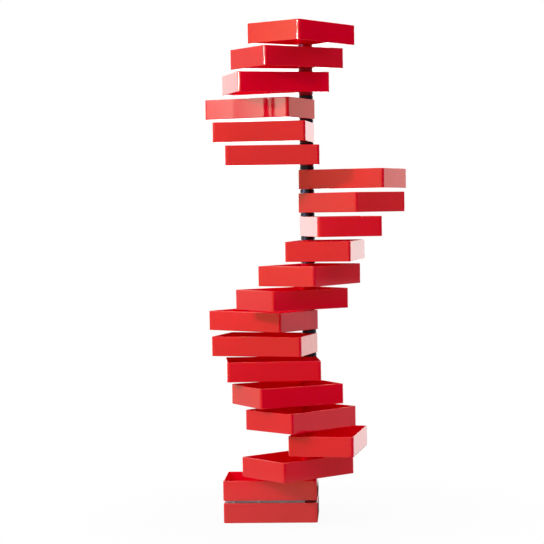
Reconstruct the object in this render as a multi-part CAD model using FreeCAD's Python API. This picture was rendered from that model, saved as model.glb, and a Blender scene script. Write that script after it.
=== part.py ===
import FreeCAD, Part
import math
import os

from FreeCAD import Vector

# Revolving shelving unit: a stack of open trays that swing about one column on a weighted base.
# Millimetres, +Z up. The origin is where the column's axis meets the floor.
# The base's long sides run along X, and the column stands near its +X +Y corner.

# The stack
OVERALL_HEIGHT = 1850.0
BASE_GAP = 9.5  # from the base's rim to the lowest tray

# Each tray's angle to the base in degrees, anticlockwise from above, top tray first
TRAY_ANGLES = (
    54.9, 35.9, 18.7, -23.7, -6.8, 7.3, 157.1, 129.1, 102.7, 81.0,
    60.9, 38.3, -36.2, -14.1, 5.8, 30.2, 47.7, 81.3, 43.0, -0.3,
)

# The outline that the trays and the base share
LENGTH = 350.0
WIDTH = 242.0
BOX_HEIGHT = 74.0
PIVOT_INSET = 27.0  # from the column's axis to the near end and to the near side
CORNER_RADIUS = 10.0
RIM_RADIUS = 1.9
FOOT_RADIUS = 2.0
WALL = 4.0
FLOOR_THICKNESS = 4.0
FLOOR_FILLET = 2.0

# The corner boss of a tray and the two bushes in it
BOSS_RADIUS = 26.5
BOSS_FILLET = 6.0
BUSH_RADIUS = 19.0
BUSH_LENGTH = 25.0
BUSH_FLANGE_RADIUS = 21.5
BUSH_FLANGE_THICKNESS = 3.0
COUNTERBORE_RADIUS = 22.0
PRESS = 0.02  # radial interference of a press fit
RUNNING = 0.08  # radial clearance of a running fit
SEAT = 0.05  # radial clearance of a fixed fit

# The column and what sits on it
TUBE_RADIUS = 16.0
TUBE_WALL = 3.0
COLLAR_RADIUS = 27.0
COLLAR_CHAMFER = 0.8
COLLAR_CLEARANCE = 0.6  # from the rim of the tray below
WASHER_RADIUS = 25.0
WASHER_THICKNESS = 1.5
WASHER_CLEARANCE = 0.2
GRUB_RADIUS = 2.5
GRUB_RECESS = 1.0
GRUB_DIRECTION = 45.0  # towards the base's own corner, in degrees
GRUB_KEY_RADIUS = 1.45
GRUB_KEY_DEPTH = 3.0
CAP_THICKNESS = 3.0
CAP_CLEARANCE = 0.5
CAP_PLUG_LENGTH = 20.0

# The base and the ballast in it
PAD_THICKNESS = 1.5
PAD_RADIUS = 18.0
BALLAST_THICKNESS = 36.0
BALLAST_CLEARANCE = 1.0
BALLAST_CORNER = 5.0
FLANGE_INNER_REACH = 70.0  # from the axis towards the middle of the base
FLANGE_OUTER_REACH = 20.0  # from the axis towards the base's corner
FLANGE_THICKNESS = 8.0
FLANGE_CORNER = 6.0
FLANGE_SCREW_NEAR = 8.0
FLANGE_SCREW_FAR = 56.0
FLANGE_SCREW = {"shank": 4.0, "head": 8.0, "head_height": 4.4, "length": 25.0, "key": 2.9}
BASE_SCREW = {"shank": 3.0, "head": 6.0, "head_height": 3.3, "length": 16.0, "key": 2.3}
BALLAST_SCREW_INSET_X = 110.0
BALLAST_SCREW_INSET_Y = 60.0
SCREW_KEY_DEPTH = 2.0

# The lid that closes the base, and what holds it up
LID_THICKNESS = 4.0
LID_RECESS = 1.0  # below the base's rim
LID_CLEARANCE = 0.5
POST_RADIUS = 8.0
POST_INSET = 34.0
POST_SPIGOT_RADIUS = 5.0
POST_SPIGOT_LENGTH = 10.0
SLEEVE_RADIUS = 22.5
SLEEVE_NECK_RADIUS = 19.0

# Worked out from the above
TRAY_COUNT = len(TRAY_ANGLES)
BASE_TOP = PAD_THICKNESS + BOX_HEIGHT
LOWEST_TRAY = BASE_TOP + BASE_GAP
STEP = (OVERALL_HEIGHT - BOX_HEIGHT - LOWEST_TRAY) / (TRAY_COUNT - 1)
X_FAR = PIVOT_INSET - LENGTH
Y_FAR = PIVOT_INSET - WIDTH
BASE_FLOOR = PAD_THICKNESS + FLOOR_THICKNESS
BALLAST_TOP = BASE_FLOOR + BALLAST_THICKNESS
LID_TOP = BASE_TOP - LID_RECESS
LID_UNDERSIDE = LID_TOP - LID_THICKNESS
TUBE_TOP = OVERALL_HEIGHT - CAP_THICKNESS
TOP_COUNTERBORE = CAP_THICKNESS + CAP_CLEARANCE + BUSH_FLANGE_THICKNESS
TRAY_BOTTOMS = [LOWEST_TRAY + STEP * (TRAY_COUNT - 1 - place) for place in range(TRAY_COUNT)]

UP = Vector(0, 0, 1)
ALONG_X = Vector(1, 0, 0)
ALONG_Y = Vector(0, 1, 0)
TOLERANCE = 1e-6


def cylinder(radius, low, high, x=0.0, y=0.0):
    return Part.makeCylinder(radius, high - low, Vector(x, y, low))


def ring(outer, inner, low, high):
    return cylinder(outer, low, high).cut(cylinder(inner, low, high))


def block(x_low, x_high, y_low, y_high, z_low, z_high):
    return Part.makeBox(x_high - x_low, y_high - y_low, z_high - z_low, Vector(x_low, y_low, z_low))


def is_upright(edge):
    box = edge.BoundBox
    return box.ZLength > TOLERANCE and box.DiagonalLength - box.ZLength < TOLERANCE


def upright_edges(shape):
    """The straight vertical edges of a prism."""
    return [e for e in shape.Edges if is_upright(e)]


def level_edges(shape, height):
    """All edges that lie flat at one height."""
    return [e for e in shape.Edges
            if abs(e.BoundBox.ZMin - height) < TOLERANCE and abs(e.BoundBox.ZMax - height) < TOLERANCE]


def rounded_block(x_low, x_high, y_low, y_high, z_low, z_high, radius):
    solid = block(x_low, x_high, y_low, y_high, z_low, z_high)
    return solid.makeFillet(radius, upright_edges(solid))


def outline_block(inset, low, high, radius):
    """The shared outline, drawn in by the same inset on all four sides."""
    near = PIVOT_INSET - inset
    return rounded_block(X_FAR + inset, near, Y_FAR + inset, near, low, high, radius)


def soften(shell):
    """Rounds a box's rim, the edge of its underside and the foot of its inner walls."""
    shell = shell.makeFillet(RIM_RADIUS, level_edges(shell, BOX_HEIGHT))
    shell = shell.makeFillet(FOOT_RADIUS, level_edges(shell, 0.0))
    return shell.makeFillet(FLOOR_FILLET, level_edges(shell, FLOOR_THICKNESS))


def tray_cavity():
    """The room inside a tray, which goes round the corner boss."""
    inner = PIVOT_INSET - WALL
    room = block(X_FAR + WALL, inner, Y_FAR + WALL, inner, FLOOR_THICKNESS, BOX_HEIGHT)
    boss = cylinder(BOSS_RADIUS, FLOOR_THICKNESS, BOX_HEIGHT)
    boss = boss.fuse(block(0, PIVOT_INSET, 0, PIVOT_INSET, FLOOR_THICKNESS, BOX_HEIGHT)).removeSplitter()
    room = room.cut(boss)
    # The two edges where the boss meets the walls stand nearer to the axis than the corners do
    meeting_distance = math.hypot(inner, inner)
    edges = upright_edges(room)
    near = [e for e in edges if math.hypot(e.CenterOfMass.x, e.CenterOfMass.y) < meeting_distance]
    far = [e for e in edges if math.hypot(e.CenterOfMass.x, e.CenterOfMass.y) > meeting_distance]
    room = room.makeFillet(CORNER_RADIUS - WALL, far)
    near_places = [e.CenterOfMass for e in near]
    near = [e for e in upright_edges(room) if any(e.CenterOfMass.isEqual(p, TOLERANCE) for p in near_places)]
    return room.makeFillet(BOSS_FILLET, near)


def tray():
    """One tray at angle 0, its underside at height 0."""
    shell = outline_block(0.0, 0.0, BOX_HEIGHT, CORNER_RADIUS).cut(tray_cavity())
    shell = soften(shell)
    shell = shell.cut(cylinder(BUSH_RADIUS, 0.0, BOX_HEIGHT))
    shell = shell.cut(cylinder(COUNTERBORE_RADIUS, 0.0, BUSH_FLANGE_THICKNESS))
    return shell.cut(cylinder(COUNTERBORE_RADIUS, BOX_HEIGHT - TOP_COUNTERBORE, BOX_HEIGHT))


def bushes():
    """The lower and the upper flanged bush of one tray."""
    bore = TUBE_RADIUS + RUNNING
    lower = ring(BUSH_RADIUS + PRESS, bore, 0.0, BUSH_LENGTH)
    lower = lower.fuse(ring(BUSH_FLANGE_RADIUS, bore, 0.0, BUSH_FLANGE_THICKNESS)).removeSplitter()
    upper = turned_over(lower, 0.0, 0.0, BOX_HEIGHT - TOP_COUNTERBORE + BUSH_FLANGE_THICKNESS)
    return Part.makeCompound([lower, upper])


def turned_over(shape, x, y, top):
    """A copy of a shape that rises from the origin, hanging down from a given point instead."""
    copy = shape.copy()
    copy.rotate(Vector(), ALONG_X, 180)
    copy.translate(Vector(x, y, top))
    return copy


def collar(low, high):
    """One spacer collar with its grub screw's hole."""
    body = cylinder(COLLAR_RADIUS, low, high)
    body = body.makeChamfer(COLLAR_CHAMFER, level_edges(body, low) + level_edges(body, high))
    body = body.cut(cylinder(TUBE_RADIUS + SEAT, low, high))
    return body.cut(grub_prism(GRUB_RADIUS + SEAT, COLLAR_RADIUS, (low + high) / 2))


def grub_prism(radius, outer_end, height):
    """A round bar that lies along the grub screws' direction, from the tube's wall outwards."""
    start = TUBE_RADIUS + SEAT
    bar = Part.makeCylinder(radius, outer_end - start, Vector(start, 0, height), ALONG_X)
    bar.rotate(Vector(), UP, GRUB_DIRECTION)
    return bar


def hexagon_prism(radius, low, high):
    corners = [Vector(radius * math.cos(math.radians(a)), radius * math.sin(math.radians(a)), low)
               for a in range(0, 361, 60)]
    return Part.Face(Part.makePolygon(corners)).extrude(UP * (high - low))


def grub_screw(height):
    outer_end = COLLAR_RADIUS - GRUB_RECESS
    key = hexagon_prism(GRUB_KEY_RADIUS, outer_end - GRUB_KEY_DEPTH, outer_end)
    key.rotate(Vector(), ALONG_Y, 90)
    key.translate(UP * height)
    key.rotate(Vector(), UP, GRUB_DIRECTION)
    return grub_prism(GRUB_RADIUS, outer_end, height).cut(key)


def countersunk_shape(size, underside, x, y, clearance):
    """A countersunk screw's outer form, head down, its head flush with the underside."""
    head = Part.makeCone(size["head"] + clearance, size["shank"] + clearance, size["head_height"],
                         Vector(x, y, underside))
    shank = cylinder(size["shank"] + clearance, underside, underside + size["length"], x, y)
    return head.fuse(shank).removeSplitter()


def countersunk_screw(size, underside, x, y):
    key = hexagon_prism(size["key"], underside, underside + SCREW_KEY_DEPTH)
    key.translate(Vector(x, y, 0))
    return countersunk_shape(size, underside, x, y, 0.0).cut(key)


def flange_screw_places():
    near = FLANGE_SCREW_NEAR
    far = -FLANGE_SCREW_FAR
    return [(far, near), (far, far), (near, far)]


def ballast_screw_places():
    xs = (X_FAR + BALLAST_SCREW_INSET_X, PIVOT_INSET - BALLAST_SCREW_INSET_X)
    ys = (Y_FAR + BALLAST_SCREW_INSET_Y, PIVOT_INSET - BALLAST_SCREW_INSET_Y)
    return [(x, y) for x in xs for y in ys]


def pad_places():
    xs = (0.0, X_FAR + PIVOT_INSET)
    ys = (0.0, Y_FAR + PIVOT_INSET)
    return [(x, y) for x in xs for y in ys]


def post_places():
    """Near three corners of the base: the column's sleeve carries the lid at the fourth."""
    far_x, far_y = X_FAR + POST_INSET, Y_FAR + POST_INSET
    near = PIVOT_INSET - POST_INSET
    return [(far_x, near), (far_x, far_y), (near, far_y)]


def drill(solid, size, underside, places):
    for x, y in places:
        solid = solid.cut(countersunk_shape(size, underside, x, y, SEAT))
    return solid


def drill_from_lid(solid):
    """Cuts the holes of the screws that go down through the lid."""
    hole = countersunk_shape(BASE_SCREW, 0.0, 0.0, 0.0, SEAT)
    for x, y in post_places():
        solid = solid.cut(turned_over(hole, x, y, LID_TOP))
    return solid


def base_shell():
    shell = outline_block(0.0, 0.0, BOX_HEIGHT, CORNER_RADIUS)
    shell = shell.cut(outline_block(WALL, FLOOR_THICKNESS, BOX_HEIGHT, CORNER_RADIUS - WALL))
    shell = soften(shell)
    shell.translate(UP * PAD_THICKNESS)
    return drill(shell, BASE_SCREW, PAD_THICKNESS, ballast_screw_places())


def flange_block(clearance):
    inner = -FLANGE_INNER_REACH - clearance
    outer = FLANGE_OUTER_REACH + clearance
    return rounded_block(inner, outer, inner, outer, BASE_FLOOR, BASE_FLOOR + FLANGE_THICKNESS, FLANGE_CORNER)


def ballast_plate():
    plate = outline_block(WALL + BALLAST_CLEARANCE, BASE_FLOOR, BALLAST_TOP, BALLAST_CORNER)
    plate = plate.makeChamfer(FLOOR_FILLET, level_edges(plate, BASE_FLOOR))
    plate = plate.makeChamfer(COLLAR_CHAMFER, level_edges(plate, BALLAST_TOP))
    plate = plate.cut(flange_block(SEAT))
    plate = plate.cut(cylinder(TUBE_RADIUS + SEAT, BASE_FLOOR, BALLAST_TOP))
    spigot_foot = BALLAST_TOP - POST_SPIGOT_LENGTH
    for x, y in post_places():
        plate = plate.cut(cylinder(POST_SPIGOT_RADIUS + SEAT, spigot_foot, BALLAST_TOP, x, y))
    plate = drill(plate, FLANGE_SCREW, BASE_FLOOR, flange_screw_places())
    return drill(plate, BASE_SCREW, PAD_THICKNESS, ballast_screw_places())


def column_flange():
    plate = flange_block(0.0).cut(cylinder(TUBE_RADIUS + SEAT, BASE_FLOOR, BASE_FLOOR + FLANGE_THICKNESS))
    return drill(plate, FLANGE_SCREW, BASE_FLOOR, flange_screw_places())


def base_lid():
    lid = outline_block(WALL + LID_CLEARANCE, LID_UNDERSIDE, LID_TOP, CORNER_RADIUS - WALL)
    lid = lid.makeChamfer(COLLAR_CHAMFER, level_edges(lid, LID_TOP))
    lid = lid.cut(cylinder(SLEEVE_NECK_RADIUS + SEAT, LID_UNDERSIDE, LID_TOP))
    return drill_from_lid(lid)


def lid_post(x, y):
    """A post that stands in the ballast and takes one of the lid's screws."""
    post = cylinder(POST_RADIUS, BALLAST_TOP, LID_UNDERSIDE, x, y)
    spigot = cylinder(POST_SPIGOT_RADIUS, BALLAST_TOP - POST_SPIGOT_LENGTH, BALLAST_TOP, x, y)
    return drill_from_lid(post.fuse(spigot).removeSplitter())


def base_sleeve():
    """The tube that goes round the column inside the base, with a shoulder under the lid."""
    bore = TUBE_RADIUS + SEAT
    shoulder = ring(SLEEVE_RADIUS, bore, BALLAST_TOP, LID_UNDERSIDE)
    return shoulder.fuse(ring(SLEEVE_NECK_RADIUS, bore, LID_UNDERSIDE, BASE_TOP)).removeSplitter()


def base_screws():
    """The screws that hold the ballast from below and the lid from above, all of one size."""
    ballast = [countersunk_screw(BASE_SCREW, PAD_THICKNESS, x, y) for x, y in ballast_screw_places()]
    upright = countersunk_screw(BASE_SCREW, 0.0, 0.0, 0.0)
    return ballast + [turned_over(upright, x, y, LID_TOP) for x, y in post_places()]


def column_cap():
    plug = cylinder(TUBE_RADIUS - TUBE_WALL + PRESS, TUBE_TOP - CAP_PLUG_LENGTH, OVERALL_HEIGHT)
    flange = cylinder(BUSH_FLANGE_RADIUS, TUBE_TOP, OVERALL_HEIGHT)
    cap = plug.fuse(flange).removeSplitter()
    return cap.makeFillet(RIM_RADIUS, level_edges(cap, OVERALL_HEIGHT))


def collar_spans():
    """The low and high ends of the collar under each tray, top tray first."""
    rims_below = [bottom + BOX_HEIGHT for bottom in TRAY_BOTTOMS[1:]] + [BASE_TOP]
    return [(rim + COLLAR_CLEARANCE, bottom - WASHER_CLEARANCE - WASHER_THICKNESS)
            for rim, bottom in zip(rims_below, TRAY_BOTTOMS)]


def thrust_washer(low):
    return ring(WASHER_RADIUS, TUBE_RADIUS + SEAT, low, low + WASHER_THICKNESS)


def export(name, shape):
    if not shape.isValid():
        raise ValueError(name + " is not a valid solid")
    shape.exportStep(os.path.join("parts", name + ".step"))


def export_group(name, solids):
    export(name, Part.makeCompound(solids))


def export_base():
    export("base_shell", base_shell())
    export("ballast_plate", ballast_plate())
    export("column_flange", column_flange())
    export("base_sleeve", base_sleeve())
    export("base_lid", base_lid())
    export_group("lid_posts", [lid_post(x, y) for x, y in post_places()])
    export_group("base_screws", base_screws())
    export_group("floor_pads", [cylinder(PAD_RADIUS, 0.0, PAD_THICKNESS, x, y) for x, y in pad_places()])
    export_group("flange_screws",
                 [countersunk_screw(FLANGE_SCREW, BASE_FLOOR, x, y) for x, y in flange_screw_places()])


def export_column():
    spans = collar_spans()
    export("column_tube", ring(TUBE_RADIUS, TUBE_RADIUS - TUBE_WALL, BASE_FLOOR, TUBE_TOP))
    export("column_cap", column_cap())
    export_group("spacer_collars", [collar(low, high) for low, high in spans])
    export_group("collar_grub_screws", [grub_screw((low + high) / 2) for low, high in spans])
    export_group("thrust_washers", [thrust_washer(high) for low, high in spans])


def export_trays():
    tray_shape = tray()
    bush_shapes = bushes()
    for place, (angle, bottom) in enumerate(zip(TRAY_ANGLES, TRAY_BOTTOMS), start=1):
        for name, shape in (("tray", tray_shape), ("bushes", bush_shapes)):
            placed = shape.copy()
            placed.rotate(Vector(), UP, angle)
            placed.translate(UP * bottom)
            export(f"{name}_{place:02d}", placed)


os.makedirs("parts", exist_ok=True)
export_base()
export_column()
export_trays()
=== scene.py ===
import bpy
import math

from collections import namedtuple
from mathutils import Matrix, Vector

# Revolving shelving unit in a white studio. Metres, in the CAD model's own frame.

# The camera, as the photograph's perspective places it, with its angles in radians
CAMERA_PLACE = (0.1764, -6.7466, 1.1726)
CAMERA_HEADING = math.radians(2.677)  # from +Y towards -X
CAMERA_TILT_DOWN = 0.03617
CAMERA_ROLL = -0.01524
CAMERA_LENS = 116.99
SENSOR_WIDTH = 36.0
CAMERA_REACH = 200.0

# What each CAD node is made of
TRAY_NUMBERS = range(1, 21)
RED_PLASTIC = ["base_shell"] + [f"tray_{n:02d}" for n in TRAY_NUMBERS]
BLACK_PLASTIC = ["spacer_collars", "base_sleeve", "column_cap"]
LID_STEEL = ["base_lid"]
PLATED_STEEL = ["column_tube", "base_screws", "flange_screws", "column_flange", "lid_posts"]
DARK_STEEL = ["collar_grub_screws"]
BALLAST_STEEL = ["ballast_plate"]
BUSH_NYLON = [f"bushes_{n:02d}" for n in TRAY_NUMBERS]
WASHER_NYLON = ["thrust_washers"]
PAD_RUBBER = ["floor_pads"]

# Colours of the studio: grey, and a little warmer or cooler
WARM_BLUE = 0.82
COOL_BLUE = 1.56
FAINTLY_COOL_BLUE = 1.25


def grey(level):
    return (level, level, level)


def warm(level):
    return (level, level, level * WARM_BLUE)


def cool(level, blue=COOL_BLUE):
    return (level, level, level * blue)


# The studio as reflections show it: degrees from the camera's side, left positive, and colour
BACKDROP = (
    (-180, grey(1.0)), (-140, grey(1.0)), (-122, grey(0.15)), (-114, grey(0.0)), (-96, grey(0.0)),
    (-80, grey(0.35)), (-70, grey(0.05)), (-30, grey(0.0)), (-13, warm(0.72)), (32, warm(0.85)),
    (45, grey(1.4)), (48, grey(0.7)), (60, warm(1.25)), (126, warm(0.9)), (140, grey(1.0)),
    (147, grey(1.3)), (152, grey(1.3)), (157, grey(0.95)), (180, grey(1.0)),
)
FLOOR_MIRRORED = (
    (-180, grey(1.35)), (-150, grey(1.28)), (-104, cool(0.9)), (-77, grey(0.05)), (-16, grey(0.0)),
    (-6, warm(0.3)), (12, warm(0.69)), (60, warm(0.9)), (97, warm(0.75)), (125, warm(0.9)),
    (150, grey(1.35)), (180, grey(1.35)),
)
# The floor close by as reflections show it: near black straight behind the column and grey to either side, a
# painted shadow of the unit itself on the floor there
NEAR_FLOOR = (
    (-180, grey(0.03)), (-160, grey(0.03)), (-120, grey(0.3)), (-60, grey(1.0)),
    (-10, cool(0.75, FAINTLY_COOL_BLUE)), (5, cool(1.1, FAINTLY_COOL_BLUE)),
    (110, grey(1.0)), (170, grey(0.3)), (180, grey(0.03)),
)
CEILING = grey(2.0)
BRIGHTEST = 2.0
# Where one part of it passes into the next: sines of the elevation
FLOOR_STARTS = (-0.040, -0.058)
NEAR_FLOOR_STARTS = (-0.150, -0.157)
CEILING_STARTS = (0.35, 0.60)
# The soft light from all round: sine of the elevation and brightness
DOME = ((-1.0, 0.24), (0.3, 0.24), (0.6, 0.98), (1.0, 0.98))

# The lamps: the azimuth is in degrees from the camera's side, left positive
Lamp = namedtuple("Lamp", "azimuth distance height width tall brightness colour")
KEY_LAMP = Lamp(azimuth=48, distance=5.5, height=3.3, width=0.48, tall=0.48,
                brightness=182.0, colour=(1.0, 0.92, 0.76))
SIDE_LAMP = Lamp(azimuth=57.5, distance=4.1, height=2.17, width=1.22, tall=0.66,
                 brightness=190.0, colour=(0.5, 0.5, 1.0))
BACK_LEFT_LAMP = Lamp(azimuth=156, distance=4.0, height=1.5, width=3.65, tall=3.0,
                      brightness=1.0, colour=grey(1.0))
BACK_RIGHT_LAMP = Lamp(azimuth=-155, distance=4.0, height=1.5, width=3.85, tall=3.0,
                       brightness=0.5, colour=grey(1.0))
LAMP_TARGET = Vector((0.0, 0.0, 0.95))
UP = Vector((0.0, 0.0, 1.0))

# The panel near the key lamp, seen only in reflections: its azimuth as for the lamps,
# then metres to the right of its middle and colour
PANEL_AZIMUTH = 53
PANEL_DISTANCE = 4.2
PANEL_LOW = 1.62
PANEL_HIGH = 2.32
PANEL = (
    (-1.45, warm(1.4)), (-1.05, warm(2.4)), (-0.12, cool(3.8)), (0.040, cool(5.4)), (0.060, cool(2.8)),
    (0.232, cool(5.4)), (0.234, grey(0.0)), (0.258, grey(0.0)), (0.260, cool(4.4)), (0.272, cool(4.4)),
    (0.274, grey(0.0)), (0.294, grey(0.0)), (0.296, cool(5.6)), (0.41, cool(5.6)),
)
PANEL_STRENGTH = 8.0

# Light is followed this many times from wall to wall inside the trays
DIFFUSE_BOUNCES = 12

# The floor's reach, its colour, and how it passes into the white background before the camera:
# metres from the column and share of white
FLOOR_REACH = 30.0
FLOOR_COLOUR = (0.5, 0.5, 0.5, 1.0)
FLOOR_ROUGHNESS = 0.9
FLOOR_WHITENS = ((0.2, 0.95), (1.1, 1.0))

# Between these two values nearly all of a noise texture lies
NOISE_LOW = 0.3
NOISE_HIGH = 0.7
# The upward part of a surface's normal where dust starts to lie, and where it lies fully
DUST_STARTS = 0.6
DUST_LIES = 0.95
DUST_ROUGHNESS = 0.12
# How light spreads under the red plastic's skin: share, reach of red, green and blue, and metres
RED_SPREAD_SHARE = 0.9
RED_SPREAD_REACH = (1.0, 0.05, 0.1)
RED_SPREAD_SCALE = 0.005
RED_SPECULAR_TINT = (1.0, 1.0, 0.5, 1.0)


def put(tree, socket, value):
    """Links a socket to another one, or sets it to a plain value."""
    if isinstance(value, bpy.types.NodeSocket):
        tree.links.new(value, socket)
    else:
        socket.default_value = value


def add(tree, kind, inputs, **settings):
    """A new node with its settings and inputs."""
    node = tree.nodes.new("ShaderNode" + kind)
    for name, value in settings.items():
        setattr(node, name, value)
    for name, value in inputs.items():
        put(tree, node.inputs[name], value)
    return node


def maths(tree, operation, *values):
    return add(tree, "Math", dict(enumerate(values)), operation=operation).outputs[0]


def ramp(tree, fac, stops):
    """A colour ramp from (position, colour) stops."""
    node = add(tree, "ValToRGB", {"Fac": fac})
    elements = node.color_ramp.elements
    while len(elements) < len(stops):
        elements.new(0.5)
    for element, (position, colour) in zip(elements, stops):
        element.position = position
        element.color = (*colour, 1.0)
    return node.outputs["Color"]


def mix(tree, fac, first, second):
    return add(tree, "MixRGB", {"Fac": fac, "Color1": first, "Color2": second}).outputs[0]


def fade(tree, value, limits):
    """0 before the first limit, 1 past the second."""
    return add(tree, "MapRange", {"Value": value, "From Min": limits[0], "From Max": limits[1]}).outputs[0]


def studio_colour(colour):
    return tuple(level / BRIGHTEST for level in colour)


def azimuth_ramp(tree, turn, stops):
    return ramp(tree, turn, [(degrees / 360 + 0.5, studio_colour(colour)) for degrees, colour in stops])


def mirrored_studio(tree, turn, z):
    """What reflections show: the walls, the floor far off and near, with a painted shadow of the unit on the
    near floor behind it, and the ceiling.
    """
    studio = azimuth_ramp(tree, turn, BACKDROP)
    studio = mix(tree, fade(tree, z, FLOOR_STARTS), studio, azimuth_ramp(tree, turn, FLOOR_MIRRORED))
    studio = mix(tree, fade(tree, z, NEAR_FLOOR_STARTS), studio, azimuth_ramp(tree, turn, NEAR_FLOOR))
    return mix(tree, fade(tree, z, CEILING_STARTS), studio, (*studio_colour(CEILING), 1.0))


def make_world():
    """White before the camera, the studio in reflections, and soft even light from all round."""
    world = bpy.data.worlds.new("studio")
    bpy.context.scene.world = world
    world.use_nodes = True
    tree = world.node_tree
    tree.nodes.clear()
    direction = add(tree, "TexCoord", {}).outputs["Generated"]
    x, y, z = add(tree, "SeparateXYZ", {0: direction}).outputs
    azimuth = maths(tree, "ARCTAN2", maths(tree, "MULTIPLY", x, -1.0), maths(tree, "MULTIPLY", y, -1.0))
    turn = maths(tree, "ADD", maths(tree, "DIVIDE", azimuth, 2 * math.pi), 0.5)
    rise = maths(tree, "ADD", maths(tree, "MULTIPLY", z, 0.5), 0.5)
    dome = ramp(tree, rise, [(sine / 2 + 0.5, studio_colour(grey(level))) for sine, level in DOME])
    path = add(tree, "LightPath", {}).outputs
    reflected = maths(tree, "MAXIMUM", path["Is Glossy Ray"], path["Is Transmission Ray"])
    colour = mix(tree, reflected, dome, mirrored_studio(tree, turn, z))
    colour = mix(tree, path["Is Camera Ray"], colour, (*studio_colour(grey(1.0)), 1.0))
    background = add(tree, "Background", {"Color": colour, "Strength": BRIGHTEST})
    add(tree, "OutputWorld", {"Surface": background.outputs[0]})


def outward(azimuth):
    """The level direction away from the column, in degrees from the camera's side, left positive."""
    angle = math.radians(azimuth)
    return Vector((-math.sin(angle), -math.cos(angle), 0.0))


def make_lamp(name, lamp):
    data = bpy.data.lights.new(name, "AREA")
    data.shape = "RECTANGLE"
    data.size = lamp.width
    data.size_y = lamp.tall
    data.color = lamp.colour
    data.energy = math.pi * lamp.width * lamp.tall * lamp.brightness
    obj = bpy.data.objects.new(name, data)
    bpy.context.collection.objects.link(obj)
    obj.location = outward(lamp.azimuth) * lamp.distance + UP * lamp.height
    obj.rotation_euler = (LAMP_TARGET - obj.location).to_track_quat("-Z", "Y").to_euler()
    obj.visible_camera = False
    return obj


def make_plane(name, corners):
    """A stage plane with a new material, of which it returns the node tree."""
    mesh = bpy.data.meshes.new(name)
    mesh.from_pydata(corners, [], [range(len(corners))])
    plane = bpy.data.objects.new(name, mesh)
    bpy.context.collection.objects.link(plane)
    material = bpy.data.materials.new(name)
    material.use_nodes = True
    mesh.materials.append(material)
    return plane, material.node_tree


def make_floor():
    reach = FLOOR_REACH
    corners = [(-reach, -reach, 0), (reach, -reach, 0), (reach, reach, 0), (-reach, reach, 0)]
    floor, tree = make_plane("floor", corners)
    floor.visible_glossy = False
    shader = tree.nodes["Principled BSDF"]
    shader.inputs["Base Color"].default_value = FLOOR_COLOUR
    shader.inputs["Roughness"].default_value = FLOOR_ROUGHNESS
    shader.inputs["Specular IOR Level"].default_value = 0.0
    white = add(tree, "Emission", {})
    camera_ray = add(tree, "LightPath", {}).outputs["Is Camera Ray"]
    place = add(tree, "TexCoord", {}).outputs["Object"]
    distance = add(tree, "VectorMath", {0: place}, operation="LENGTH").outputs["Value"]
    (near, near_white), (far, far_white) = FLOOR_WHITENS
    whiteness = add(tree, "MapRange", {"Value": distance, "From Min": near, "From Max": far,
                                       "To Min": near_white, "To Max": far_white}).outputs[0]
    glow = maths(tree, "MULTIPLY", camera_ray, whiteness)
    surface = add(tree, "MixShader", {"Fac": glow, 1: shader.outputs[0], 2: white.outputs[0]})
    put(tree, tree.nodes["Material Output"].inputs["Surface"], surface.outputs[0])


def make_panel():
    """The upright panel near the key lamp, with its bars, in the object's reflections alone."""
    left, right = PANEL[0][0], PANEL[-1][0]
    middle = outward(PANEL_AZIMUTH) * PANEL_DISTANCE
    sideways = outward(PANEL_AZIMUTH - 90)
    places = [(left, PANEL_LOW), (right, PANEL_LOW), (right, PANEL_HIGH), (left, PANEL_HIGH)]
    corners = [middle + sideways * side + UP * height for side, height in places]
    panel, tree = make_plane("lamp_panel", corners)
    panel.visible_camera = False
    panel.visible_diffuse = False
    panel.visible_shadow = False
    place = add(tree, "TexCoord", {}).outputs["Object"]
    along = add(tree, "VectorMath", {0: place, 1: sideways}, operation="DOT_PRODUCT").outputs["Value"]
    across = fade(tree, along, (left, right))
    stops = [((side - left) / (right - left), tuple(level / PANEL_STRENGTH for level in colour))
             for side, colour in PANEL]
    light = add(tree, "Emission", {"Color": ramp(tree, across, stops), "Strength": PANEL_STRENGTH})
    put(tree, tree.nodes["Material Output"].inputs["Surface"], light.outputs[0])


def make_camera():
    data = bpy.data.cameras.new("camera")
    data.lens = CAMERA_LENS
    data.sensor_width = SENSOR_WIDTH
    data.clip_end = CAMERA_REACH
    camera = bpy.data.objects.new("camera", data)
    bpy.context.collection.objects.link(camera)
    turn = Matrix.Rotation(CAMERA_HEADING, 4, "Z")
    tilt = Matrix.Rotation(math.pi / 2 - CAMERA_TILT_DOWN, 4, "X")
    roll = Matrix.Rotation(CAMERA_ROLL, 4, "Z")
    camera.matrix_world = Matrix.Translation(CAMERA_PLACE) @ turn @ tilt @ roll
    bpy.context.scene.camera = camera


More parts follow.
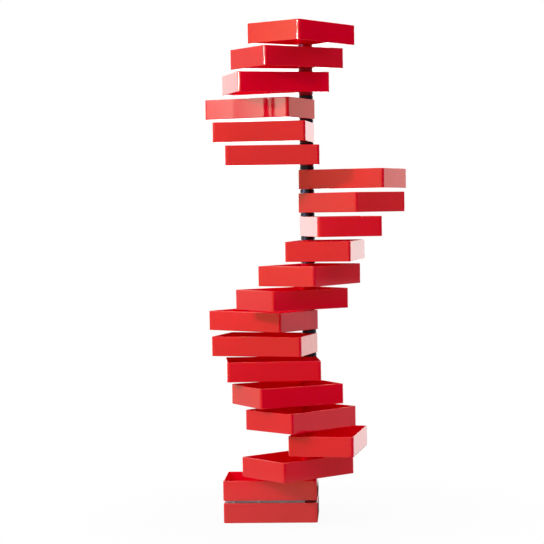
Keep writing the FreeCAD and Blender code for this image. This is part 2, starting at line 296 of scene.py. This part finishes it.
class Surface:
    """A material under construction: its node tree, its shader and the object's own coordinates."""

    def __init__(self, name):
        self.material = bpy.data.materials.new(name)
        self.material.use_nodes = True
        self.tree = self.material.node_tree
        self.shader = self.tree.nodes["Principled BSDF"]
        self.place = add(self.tree, "TexCoord", {}).outputs["Object"]

    def set(self, **values):
        for name, value in values.items():
            put(self.tree, self.shader.inputs[name.replace("_", " ")], value)

    def noise(self, scale, detail=2.0, stretch=None):
        """Noise with a given number of cells per metre, drawn out along an axis where stretch says so."""
        place = self.place
        if stretch:
            place = add(self.tree, "Mapping", {"Vector": place, "Scale": stretch}).outputs[0]
        return add(self.tree, "TexNoise", {"Vector": place, "Scale": scale, "Detail": detail}).outputs["Fac"]

    def cells(self, scale):
        """A random grey level per cell of a Voronoi pattern."""
        colour = add(self.tree, "TexVoronoi", {"Vector": self.place, "Scale": scale}).outputs["Color"]
        return add(self.tree, "SeparateColor", {0: colour}).outputs[0]

    def upward(self):
        """1 on surfaces that face up, 0 on upright ones."""
        normal = add(self.tree, "NewGeometry", {}).outputs["Normal"]
        z = add(self.tree, "SeparateXYZ", {0: normal}).outputs[2]
        return self.spread(z, 0.0, 1.0, DUST_STARTS, DUST_LIES)

    def spread(self, value, low, high, from_low=NOISE_LOW, from_high=NOISE_HIGH):
        """Maps a value between two limits to another range."""
        inputs = {"Value": value, "From Min": from_low, "From Max": from_high, "To Min": low, "To Max": high}
        return add(self.tree, "MapRange", inputs).outputs[0]

    def total(self, *values):
        result = values[0]
        for value in values[1:]:
            result = maths(self.tree, "ADD", result, value)
        return result

    def times(self, first, second):
        return maths(self.tree, "MULTIPLY", first, second)

    def two_tone(self, fac, dark, light):
        self.set(Base_Color=ramp(self.tree, fac, [(NOISE_LOW, dark), (NOISE_HIGH, light)]))

    def relief(self, *layers):
        """Bump from (height, depth in metres) layers, laid one over the other."""
        normal = None
        for height, depth in layers:
            bump = add(self.tree, "Bump", {"Height": height, "Strength": 1.0, "Distance": depth})
            if normal is not None:
                put(self.tree, bump.inputs["Normal"], normal)
            normal = bump.outputs[0]
        self.set(Normal=normal)


def red_plastic():
    """Glossy moulded plastic, faintly wavy, with fine rubbing marks and a little dust where it faces up."""
    surface = Surface("red_plastic")
    dust = surface.times(surface.upward(), surface.spread(surface.noise(60.0, 5.0), 0.0, 1.0))
    surface.two_tone(surface.noise(9.0, 3.0), (0.86, 0.0008, 0.031), (0.90, 0.0010, 0.034))
    marks = surface.spread(surface.noise(14.0, 4.0, (1.0, 1.0, 60.0)), 0.0, 0.02, 0.55, 0.75)
    gloss = surface.spread(surface.noise(28.0, 3.0), 0.012, 0.03)
    surface.set(Roughness=surface.total(gloss, marks, surface.times(dust, DUST_ROUGHNESS)))
    surface.set(Specular_Tint=RED_SPECULAR_TINT, Subsurface_Weight=RED_SPREAD_SHARE)
    surface.set(Subsurface_Radius=RED_SPREAD_REACH, Subsurface_Scale=RED_SPREAD_SCALE)
    surface.relief((surface.noise(22.0, 1.0), 0.00002), (surface.noise(900.0, 2.0), 0.000001))
    return surface.material


def black_plastic():
    """Satin moulded plastic with faint turning lines round the column."""
    surface = Surface("black_plastic")
    surface.two_tone(surface.noise(70.0, 4.0), (0.005, 0.005, 0.016), (0.007, 0.007, 0.021))
    surface.set(Roughness=surface.spread(surface.noise(45.0, 4.0), 0.24, 0.34), Specular_IOR_Level=0.28)
    lines = surface.noise(90.0, 2.0, (0.05, 0.05, 14.0))
    surface.relief((lines, 0.00004), (surface.noise(1600.0, 2.0), 0.000006))
    return surface.material


def lid_steel():
    """Galvanised sheet with its crystal pattern."""
    surface = Surface("lid_steel")
    crystals = surface.cells(110.0)
    surface.two_tone(crystals, (0.36, 0.32, 0.33), (0.42, 0.38, 0.39))
    surface.set(Metallic=0.6)
    surface.set(Roughness=surface.total(surface.spread(crystals, 0.16, 0.22, 0.0, 1.0),
                                        surface.spread(surface.noise(25.0, 4.0), 0.0, 0.06)))
    surface.relief((surface.noise(8.0, 1.0), 0.000005), (surface.noise(500.0, 3.0), 0.000002))
    return surface.material


def plated_steel():
    """Zinc-plated steel with drawing lines along the column."""
    surface = Surface("plated_steel")
    surface.two_tone(surface.noise(40.0, 4.0), (0.50, 0.51, 0.53), (0.60, 0.60, 0.60))
    surface.set(Metallic=1.0)
    lines = surface.noise(500.0, 2.0, (1.0, 1.0, 0.02))
    surface.set(Roughness=surface.total(surface.spread(surface.noise(35.0, 3.0), 0.24, 0.34),
                                        surface.spread(lines, 0.0, 0.06)))
    surface.relief((lines, 0.00001), (surface.noise(700.0, 2.0), 0.000006))
    return surface.material


def dark_steel():
    """Blackened steel, worn brighter in places."""
    surface = Surface("dark_steel")
    surface.two_tone(surface.noise(300.0, 4.0), (0.035, 0.035, 0.038), (0.075, 0.073, 0.07))
    surface.set(Metallic=1.0, Roughness=surface.spread(surface.noise(500.0, 3.0), 0.32, 0.48))
    surface.relief((surface.noise(1500.0, 2.0), 0.000008))
    return surface.material


def ballast_steel():
    """Rolled plate under thick grey paint."""
    surface = Surface("ballast_steel")
    surface.two_tone(surface.noise(30.0, 5.0), (0.27, 0.27, 0.28), (0.34, 0.34, 0.34))
    surface.set(Roughness=surface.spread(surface.noise(90.0, 4.0), 0.42, 0.58))
    surface.relief((surface.noise(35.0, 3.0), 0.0002), (surface.noise(420.0, 3.0), 0.00003))
    return surface.material


def bush_nylon():
    """Natural nylon, slightly darker where grease has run."""
    surface = Surface("bush_nylon")
    surface.two_tone(surface.noise(80.0, 4.0), (0.66, 0.62, 0.52), (0.76, 0.73, 0.65))
    surface.set(Roughness=surface.spread(surface.noise(150.0, 3.0), 0.34, 0.48), Subsurface_Weight=0.15)
    surface.relief((surface.noise(1200.0, 2.0), 0.000008))
    return surface.material


def washer_nylon():
    """Black nylon with the sheen of a sliding face."""
    surface = Surface("washer_nylon")
    surface.two_tone(surface.noise(120.0, 4.0), (0.010, 0.010, 0.010), (0.018, 0.018, 0.018))
    surface.set(Roughness=surface.spread(surface.noise(220.0, 3.0), 0.34, 0.50), Specular_IOR_Level=0.4)
    surface.relief((surface.noise(1400.0, 2.0), 0.000008))
    return surface.material


def pad_rubber():
    """Matt rubber with a grainy skin."""
    surface = Surface("pad_rubber")
    surface.two_tone(surface.noise(160.0, 5.0), (0.018, 0.018, 0.018), (0.034, 0.033, 0.032))
    surface.set(Roughness=surface.spread(surface.noise(260.0, 4.0), 0.72, 0.90))
    surface.relief((surface.noise(1100.0, 3.0), 0.00004))
    return surface.material


def dress(frame, names, material):
    for name in names:
        mesh = frame["nodes"][name].data
        mesh.materials.clear()
        mesh.materials.append(material)


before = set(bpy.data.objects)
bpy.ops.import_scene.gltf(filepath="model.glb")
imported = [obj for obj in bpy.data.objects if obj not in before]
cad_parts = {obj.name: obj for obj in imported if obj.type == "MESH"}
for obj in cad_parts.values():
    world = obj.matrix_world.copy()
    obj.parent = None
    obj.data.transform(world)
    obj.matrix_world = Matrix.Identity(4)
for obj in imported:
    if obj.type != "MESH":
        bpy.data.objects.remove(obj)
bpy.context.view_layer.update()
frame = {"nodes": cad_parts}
bpy.context.scene.view_settings.view_transform = "Standard"
bpy.context.scene.cycles.diffuse_bounces = DIFFUSE_BOUNCES
make_camera()
make_world()
make_floor()
make_panel()
make_lamp("key", KEY_LAMP)
make_lamp("side", SIDE_LAMP).visible_diffuse = False
make_lamp("back_left", BACK_LEFT_LAMP)
make_lamp("back_right", BACK_RIGHT_LAMP)
dress(frame, RED_PLASTIC, red_plastic())
dress(frame, BLACK_PLASTIC, black_plastic())
dress(frame, LID_STEEL, lid_steel())
dress(frame, PLATED_STEEL, plated_steel())
dress(frame, DARK_STEEL, dark_steel())
dress(frame, BALLAST_STEEL, ballast_steel())
dress(frame, BUSH_NYLON, bush_nylon())
dress(frame, WASHER_NYLON, washer_nylon())
dress(frame, PAD_RUBBER, pad_rubber())
